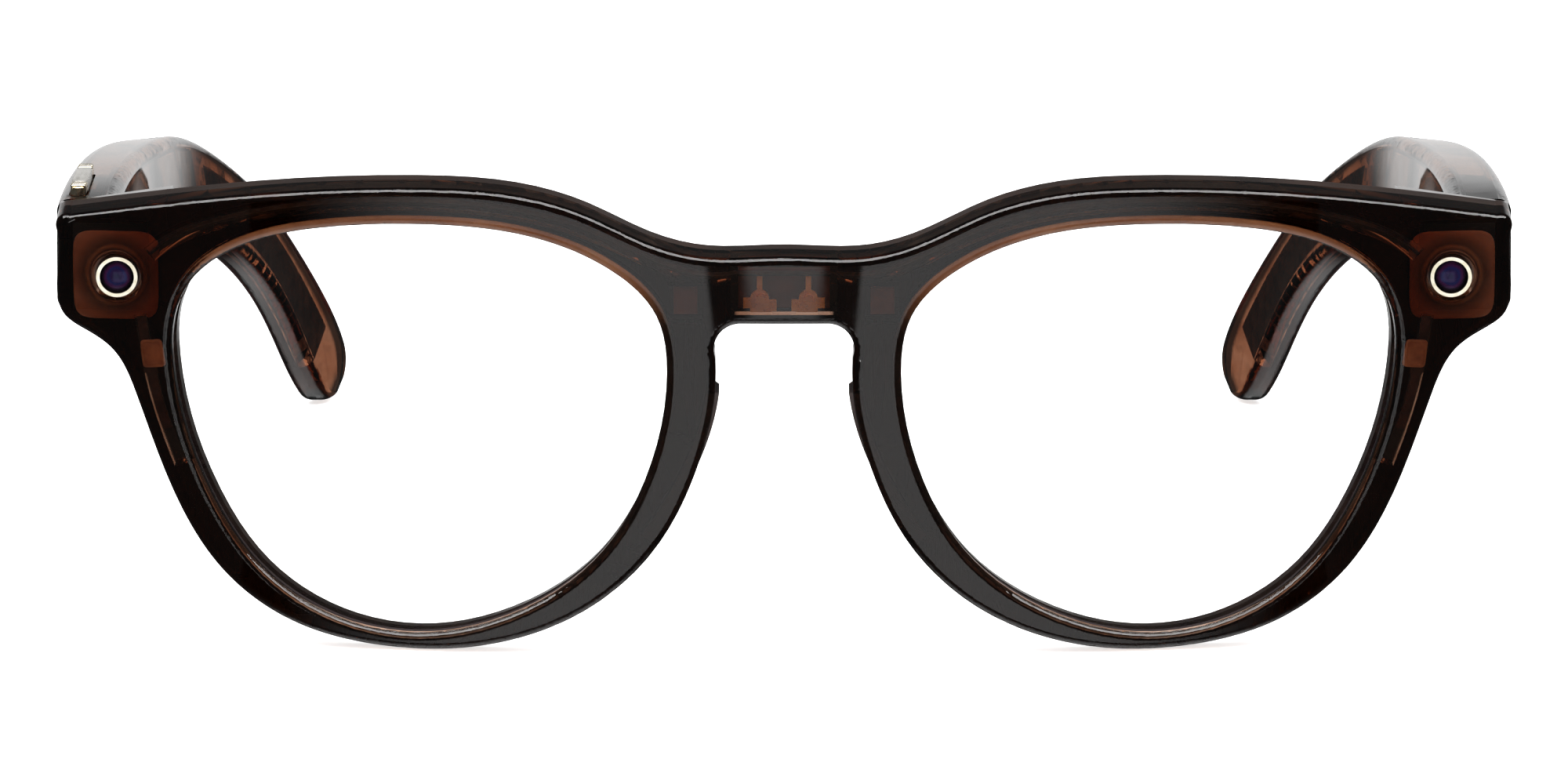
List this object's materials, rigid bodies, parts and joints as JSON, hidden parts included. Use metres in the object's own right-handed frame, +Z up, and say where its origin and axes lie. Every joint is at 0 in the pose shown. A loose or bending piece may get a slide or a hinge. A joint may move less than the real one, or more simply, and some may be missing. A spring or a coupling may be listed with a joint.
{
  "type": "smart glasses",
  "caption": "Glasses with a keyhole bridge and round lenses, a camera window at each end of the front, and thick folding temples that hold electronics.",
  "frame": {"origin": "centre of the open glasses' footprint, on the surface they stand on", "axes": "+Z up from that surface, +Y from the front towards the temple tips, +X to the wearer's left"},
  "size_m": [0.149, 0.1436, 0.0489],
  "materials": {
    "clear_brown": "glossy, translucent",
    "lens": "clear, polished",
    "camera_glass": "coated, polished",
    "gold": "satin champagne",
    "copper": "stamped, tinned",
    "steel": "turned",
    "black_plastic": "moulded",
    "brown_plastic": "moulded",
    "amber_flex": "polyimide film",
    "board": "solder mask",
    "battery_wrap": "foil pouch"
  },
  "bodies": {
    "front": {"front_shell": "clear_brown", "rear_shell": "clear_brown", "front_flex": "amber_flex", "nose_microphone": "steel", "wear_sensor": "black_plastic", "front_leaf_screws": "steel", "contact_carrier": "brown_plastic", "lens_left": "lens", "nose_pad_left": "clear_brown", "camera_module_left": "black_plastic", "camera_ring_left": "gold", "camera_glass_left": "camera_glass", "camera_gasket_left": "brown_plastic", "antenna_left": "copper", "charging_contact_left": "gold", "contact_terminal_left": "copper", "hinge_front_leaf_left": "steel", "hinge_pin_left": "steel", "lens_right": "lens", "nose_pad_right": "clear_brown", "camera_module_right": "black_plastic", "camera_ring_right": "gold", "camera_glass_right": "camera_glass", "camera_gasket_right": "brown_plastic", "antenna_right": "copper", "charging_contact_right": "gold", "contact_terminal_right": "copper", "hinge_front_leaf_right": "steel", "hinge_pin_right": "steel"},
    "left_temple": {"hinge_temple_leaf_left": "steel", "temple_leaf_screws_left": "steel", "temple_shell_left": "clear_brown", "temple_cover_left": "clear_brown", "tip_core_left": "copper", "speaker_left": "black_plastic", "speaker_mesh_left": "black_plastic", "temple_microphone_left": "steel", "battery": "battery_wrap", "battery_board": "board", "power_switch": "black_plastic"},
    "right_temple": {"hinge_temple_leaf_right": "steel", "temple_leaf_screws_right": "steel", "temple_shell_right": "clear_brown", "temple_cover_right": "clear_brown", "tip_core_right": "copper", "speaker_right": "black_plastic", "speaker_mesh_right": "black_plastic", "temple_microphone_right": "steel", "main_board": "board", "board_shield": "steel", "touch_flex": "amber_flex", "capture_switch": "black_plastic"},
    "capture_button": {"capture_button": "gold"},
    "power_slider": {"power_slider": "black_plastic"}
  },
  "joints": [
    {"name": "left_fold", "type": "hinge", "parent": "front", "child": "left_temple", "pos_m": [0.0669, -0.05125, 0.03853], "axis": [0, 0.1045, 0.9945], "range_deg": [0, 84]},
    {"name": "right_fold", "type": "hinge", "parent": "front", "child": "right_temple", "pos_m": [-0.0669, -0.05125, 0.03853], "axis": [0, -0.1045, -0.9945], "range_deg": [0, 73]},
    {"name": "capture_press", "type": "slide", "parent": "right_temple", "child": "capture_button", "axis": [0, -0.0209, -0.9998], "range_m": [0, 0.0004], "stiffness_N_per_m": 2500, "springref_m": -0.0002},
    {"name": "power_slide", "type": "slide", "parent": "left_temple", "child": "power_slider", "axis": [0, 0.9945, -0.1045], "range_m": [0, 0.002]}
  ]
}
